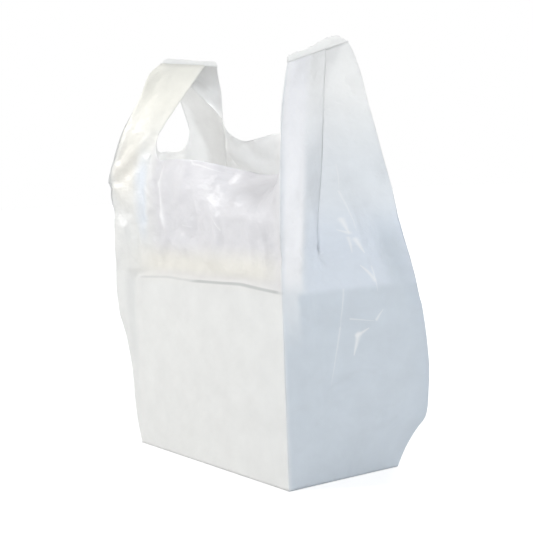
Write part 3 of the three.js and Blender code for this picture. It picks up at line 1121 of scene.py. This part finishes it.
def inside(tree, value, low, high, soft):
    """1 between two limits, in millimetres, and 0 outside, with a soft edge."""
    rising = map_range(tree, value, (low - soft) * MM, (low + soft) * MM, 0.0, 1.0)
    falling = map_range(tree, value, (high - soft) * MM, (high + soft) * MM, 1.0, 0.0)
    return calculate(tree, "MULTIPLY", rising, falling)


# Tints, with painted light and painted shade among them, and the patches of the flat film that
# have them. A patch is its left and right side with their softness, and its lower and upper end
# with theirs. A later patch lies over an earlier.
tints_and_painted_light = {
    "plain": (0.905, 0.905, 0.895),
    # Painted shade: the front above the crease, a little darker and greyer
    "painted_upper_front_shade": (0.855, 0.85, 0.865),
    # Painted shade: a cool bluish band on the front's left strip
    "painted_cool_shade": (0.86, 0.885, 0.92),
    # Painted shade: the whole right gusset, cooler and a little darker than the front
    "side": (0.885, 0.905, 0.925),
    # Painted shade: a bluer band across the middle of the right gusset
    "painted_mid_side_shade": (0.85, 0.885, 0.93),
    # Painted shade: the darkest, bluest parts of the right gusset, low down and in a band above
    "painted_low_side_shade": (0.78, 0.82, 0.86),
    # Painted highlight: near-white strips beside folds on the front and on the right gusset
    "painted_highlight_strip": (0.99, 0.99, 1.0),
    "crease_shade": (0.68, 0.69, 0.68),
    "faint_shade": (0.80, 0.80, 0.79),
    # Painted warm light on the front, above the crease and on the left strip
    "warm": (0.94, 0.925, 0.885),
    # Painted light: the left handle strip, warm and bright as if lit through from behind
    "painted_left_handle_light": (0.965, 0.955, 0.91),
    # Painted light: the handles, near white as if lit through from behind
    "handle": (0.985, 0.985, 0.98),
    # Painted light: the back panel, lighter as if lit through the film
    "back": (0.93, 0.93, 0.925),
    "weld": (0.90, 0.90, 0.89),
}
tint_and_painted_light_patches = [
    ("painted_upper_front_shade", (70, 316, 20, 203, 480, 6)),
    # Painted warm light on the front
    ("warm", (40, 300, 40, 206, 236, 14)),
    ("warm", (8, 40, 8, 300, 380, 30)),
    ("painted_cool_shade", (44, 60, 8, 255, 345, 20)),
    ("painted_highlight_strip", (94, 104, 5, 266, 338, 12)),
    ("painted_left_handle_light", (-10, 62, 6, 370, 480, 45)),
    # Painted light over the back panel
    ("back", (488, 990, 4, 200, 480, 30)),
    ("weld", (2990, 3100, 2, -10, 20, 1)),
    # Painted shade over the whole right gusset
    ("side", (312, 488, 2, -30, 480, 4)),
    ("painted_mid_side_shade", (350, 500, 10, 150, 275, 30)),
    ("painted_low_side_shade", (314, 488, 4, -30, 165, 35)),
    ("painted_low_side_shade", (338, 500, 5, -30, 199, 4)),
    ("painted_low_side_shade", (454, 482, 12, 190, 262, 20)),
    # Painted light on the right handle
    ("handle", (313, 560, 3, 360, 490, 60)),
    ("painted_highlight_strip", (316, 346, 6, 206, 480, 12)),
    ("faint_shade", (40, 180, 12, 200, 202.2, 0.8)),
    ("crease_shade", (150, 308, 10, 200, 202.6, 0.8)),
]
# Painted highlight: the pure white of the glints
glint_colour = (1.0, 1.0, 1.0)
print("tints:", list(tints_and_painted_light))

# %% The film material
wrinkle_height, crackle_height = 10.0, 1.3
pressed_share = 0.35  # of those heights is left where the film is pressed over the base
mottle_depth = 0.1
# How strongly the painted glints lighten the colour
glint_strength = 0.8
film_gloss = {"IOR": 1.54, "Roughness": 0.38}
passed_light = 0.45  # the share of light that goes through


def colour_with_painted_light(tree, place, across, up):
    """The film's colour: its tints, its painted light and shade, a fine mottle, and painted glints.
    """
    tint = tints_and_painted_light["plain"]
    for name, (left, right, side_soft, low, high, end_soft) in tint_and_painted_light_patches:
        between_sides = inside(tree, across, left, right, side_soft)
        between_ends = inside(tree, up, low, high, end_soft)
        mask = calculate(tree, "MULTIPLY", between_sides, between_ends)
        tint = mix_colour(tree, mask, tint, tints_and_painted_light[name])
    mottle = calculate(tree, "MULTIPLY", noise_texture(tree, place, 38.0, 3.0, 0.6), mottle_depth)
    mottled = calculate(tree, "ADD", mottle, 1 - mottle_depth / 2)
    tint = mix_colour(tree, 1.0, tint, mottled, "MULTIPLY")
    # Painted glints: thin white lines of painted highlight along creases, over all the tints
    for start, end, half_width, strength in painted_glints:
        given = {
            "Vector": place,
            "Start": (start[0] * MM, start[1] * MM, 0),
            "End": (end[0] * MM, end[1] * MM, 0),
            "Half width": half_width * MM,
            "Strength": strength,
        }
        line = add_node(tree, "ShaderNodeGroup", given, node_tree=crease).outputs["Mask"]
        mask = calculate(tree, "MULTIPLY", line, glint_strength)
        tint = mix_colour(tree, mask, tint, glint_colour)
    return tint


def film_material(name):
    material = bpy.data.materials.new(name)
    tree = emptied(material)
    place = add_node(tree, "ShaderNodeUVMap", uv_map="film").outputs[0]
    parts = add_node(tree, "ShaderNodeSeparateXYZ", {0: place})
    across, up = parts.outputs["X"], parts.outputs["Y"]
    slack_share = map_range(tree, up, 190 * MM, 240 * MM, pressed_share, 1.0)
    given = {
        "Vector": place,
        "Wrinkle height": calculate(tree, "MULTIPLY", slack_share, wrinkle_height),
        "Crackle height": calculate(tree, "MULTIPLY", slack_share, crackle_height),
    }
    height = add_node(tree, "ShaderNodeGroup", given, node_tree=wrinkles).outputs["Height"]
    bump = add_node(tree, "ShaderNodeBump", {"Distance": MM, "Height": height}).outputs[0]
    tint = colour_with_painted_light(tree, place, across, up)
    gloss = {"Base Color": tint, "Normal": bump, **film_gloss}
    skin = add_node(tree, "ShaderNodeBsdfPrincipled", gloss).outputs[0]
    through = {"Color": tint, "Normal": bump}
    glow = add_node(tree, "ShaderNodeBsdfTranslucent", through).outputs[0]
    mixed = mix_shaders(tree, passed_light, skin, glow)
    add_node(tree, "ShaderNodeOutputMaterial", {"Surface": mixed})
    return material


film_look = film_material("milky_film")
pieces = [bag_film, left_weld, right_weld, bottom_seal, gusset_triangles]
for piece in pieces:
    piece.data.materials.append(film_look)
print("material on", len(pieces), "pieces")

# %% [markdown]
# ## Riding on the frame
# The film and its welds stand for the one solid of the frame. They have no moving parts, so all
# of them ride on its only body.

# %% Frame calls
for piece in pieces:
    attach(piece, "root")
    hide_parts("bag")
print("pieces:", [piece.name for piece in pieces])

# %% [markdown]
# ## Floor and light
# White things need a white surround that is still a little darker where the bag shades it. The
# floor looks white to the camera by a part of its own light, and keeps its shadow in the rest.
# Three broad suns light the bag: a slightly warm one on the front, a cooler one on the side, and
# one from behind, which lights the film from the back.

# %% Floor
def seen_directly(tree):
    """1 for what is seen, also in a reflection or through film, and 0 for the light passed on."""
    path = add_node(tree, "ShaderNodeLightPath").outputs
    seen = calculate(tree, "MAXIMUM", path["Is Camera Ray"], path["Is Glossy Ray"])
    return calculate(tree, "MAXIMUM", seen, path["Is Transmission Ray"])


def floor_material():
    material = bpy.data.materials.new("pale_floor")
    tree = emptied(material)
    plain = add_node(tree, "ShaderNodeBsdfDiffuse", {"Color": (0.8, 0.8, 0.8)}).outputs[0]
    shown = add_node(tree, "ShaderNodeBsdfDiffuse", {"Color": (0.5, 0.5, 0.5)}).outputs[0]
    glow = add_node(tree, "ShaderNodeEmission", {"Strength": 0.62}).outputs[0]
    both = add_node(tree, "ShaderNodeAddShader", {0: shown, 1: glow}).outputs[0]
    mixed = mix_shaders(tree, seen_directly(tree), plain, both)
    add_node(tree, "ShaderNodeOutputMaterial", {"Surface": mixed})
    return material


reach, drop = 9.0, 0.0002  # in metres
floor_mesh = bpy.data.meshes.new("floor")
floor_corners = [(-reach, -reach, 0), (reach, -reach, 0), (reach, reach, 0), (-reach, reach, 0)]
floor_mesh.from_pydata(floor_corners, [], [(0, 1, 2, 3)])
floor = bpy.data.objects.new("floor", floor_mesh)
floor.location.z = -drop
bpy.context.scene.collection.objects.link(floor)
floor_mesh.materials.append(floor_material())
floor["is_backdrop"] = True
print("floor is", 2 * reach, "m wide")

# %% Lights and world
def add_sun(name, strength, colour, toward, width):
    data = bpy.data.lights.new(name, "SUN")
    data.energy = strength
    data.color = colour
    data.angle = math.radians(width)
    sun = bpy.data.objects.new(name, data)
    sun.rotation_mode = "QUATERNION"
    sun.rotation_quaternion = Vector(toward).to_track_quat("-Z", "Y")
    bpy.context.scene.collection.objects.link(sun)


add_sun("front_light", 1.65, (1.0, 0.98, 0.95), (0.6, 1.0, -0.6), 12)
add_sun("side_light", 1.05, (0.92, 0.96, 1.0), (-1.0, 0.1, -0.75), 10)
add_sun("back_light", 1.4, (0.98, 0.99, 1.0), (0.5, -0.9, -0.6), 20)

world = bpy.data.worlds.new("soft_white")
tree = emptied(world)
ambient = {"Color": (0.95, 0.975, 1.0), "Strength": 0.54}
backdrop = {"Color": (1, 1, 1), "Strength": 1.0}
cast, shown = (add_node(tree, "ShaderNodeBackground", given) for given in (ambient, backdrop))
mixed = mix_shaders(tree, seen_directly(tree), cast.outputs[0], shown.outputs[0])
add_node(tree, "ShaderNodeOutputWorld", {"Surface": mixed})
bpy.context.scene.world = world
bpy.context.scene.view_settings.view_transform = "Standard"
print("three suns and a pale world")

# %% [markdown]
# ## Sizes at the end
# The dressed bag has to stay the size of the frame, so both boxes are printed.

# %% Print both boxes
visual_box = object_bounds()
for name, box in (("frame", cad_box), ("dressed", visual_box)):
    print(name, [[round(float(v) * 1000, 1) for v in corner] for corner in box])
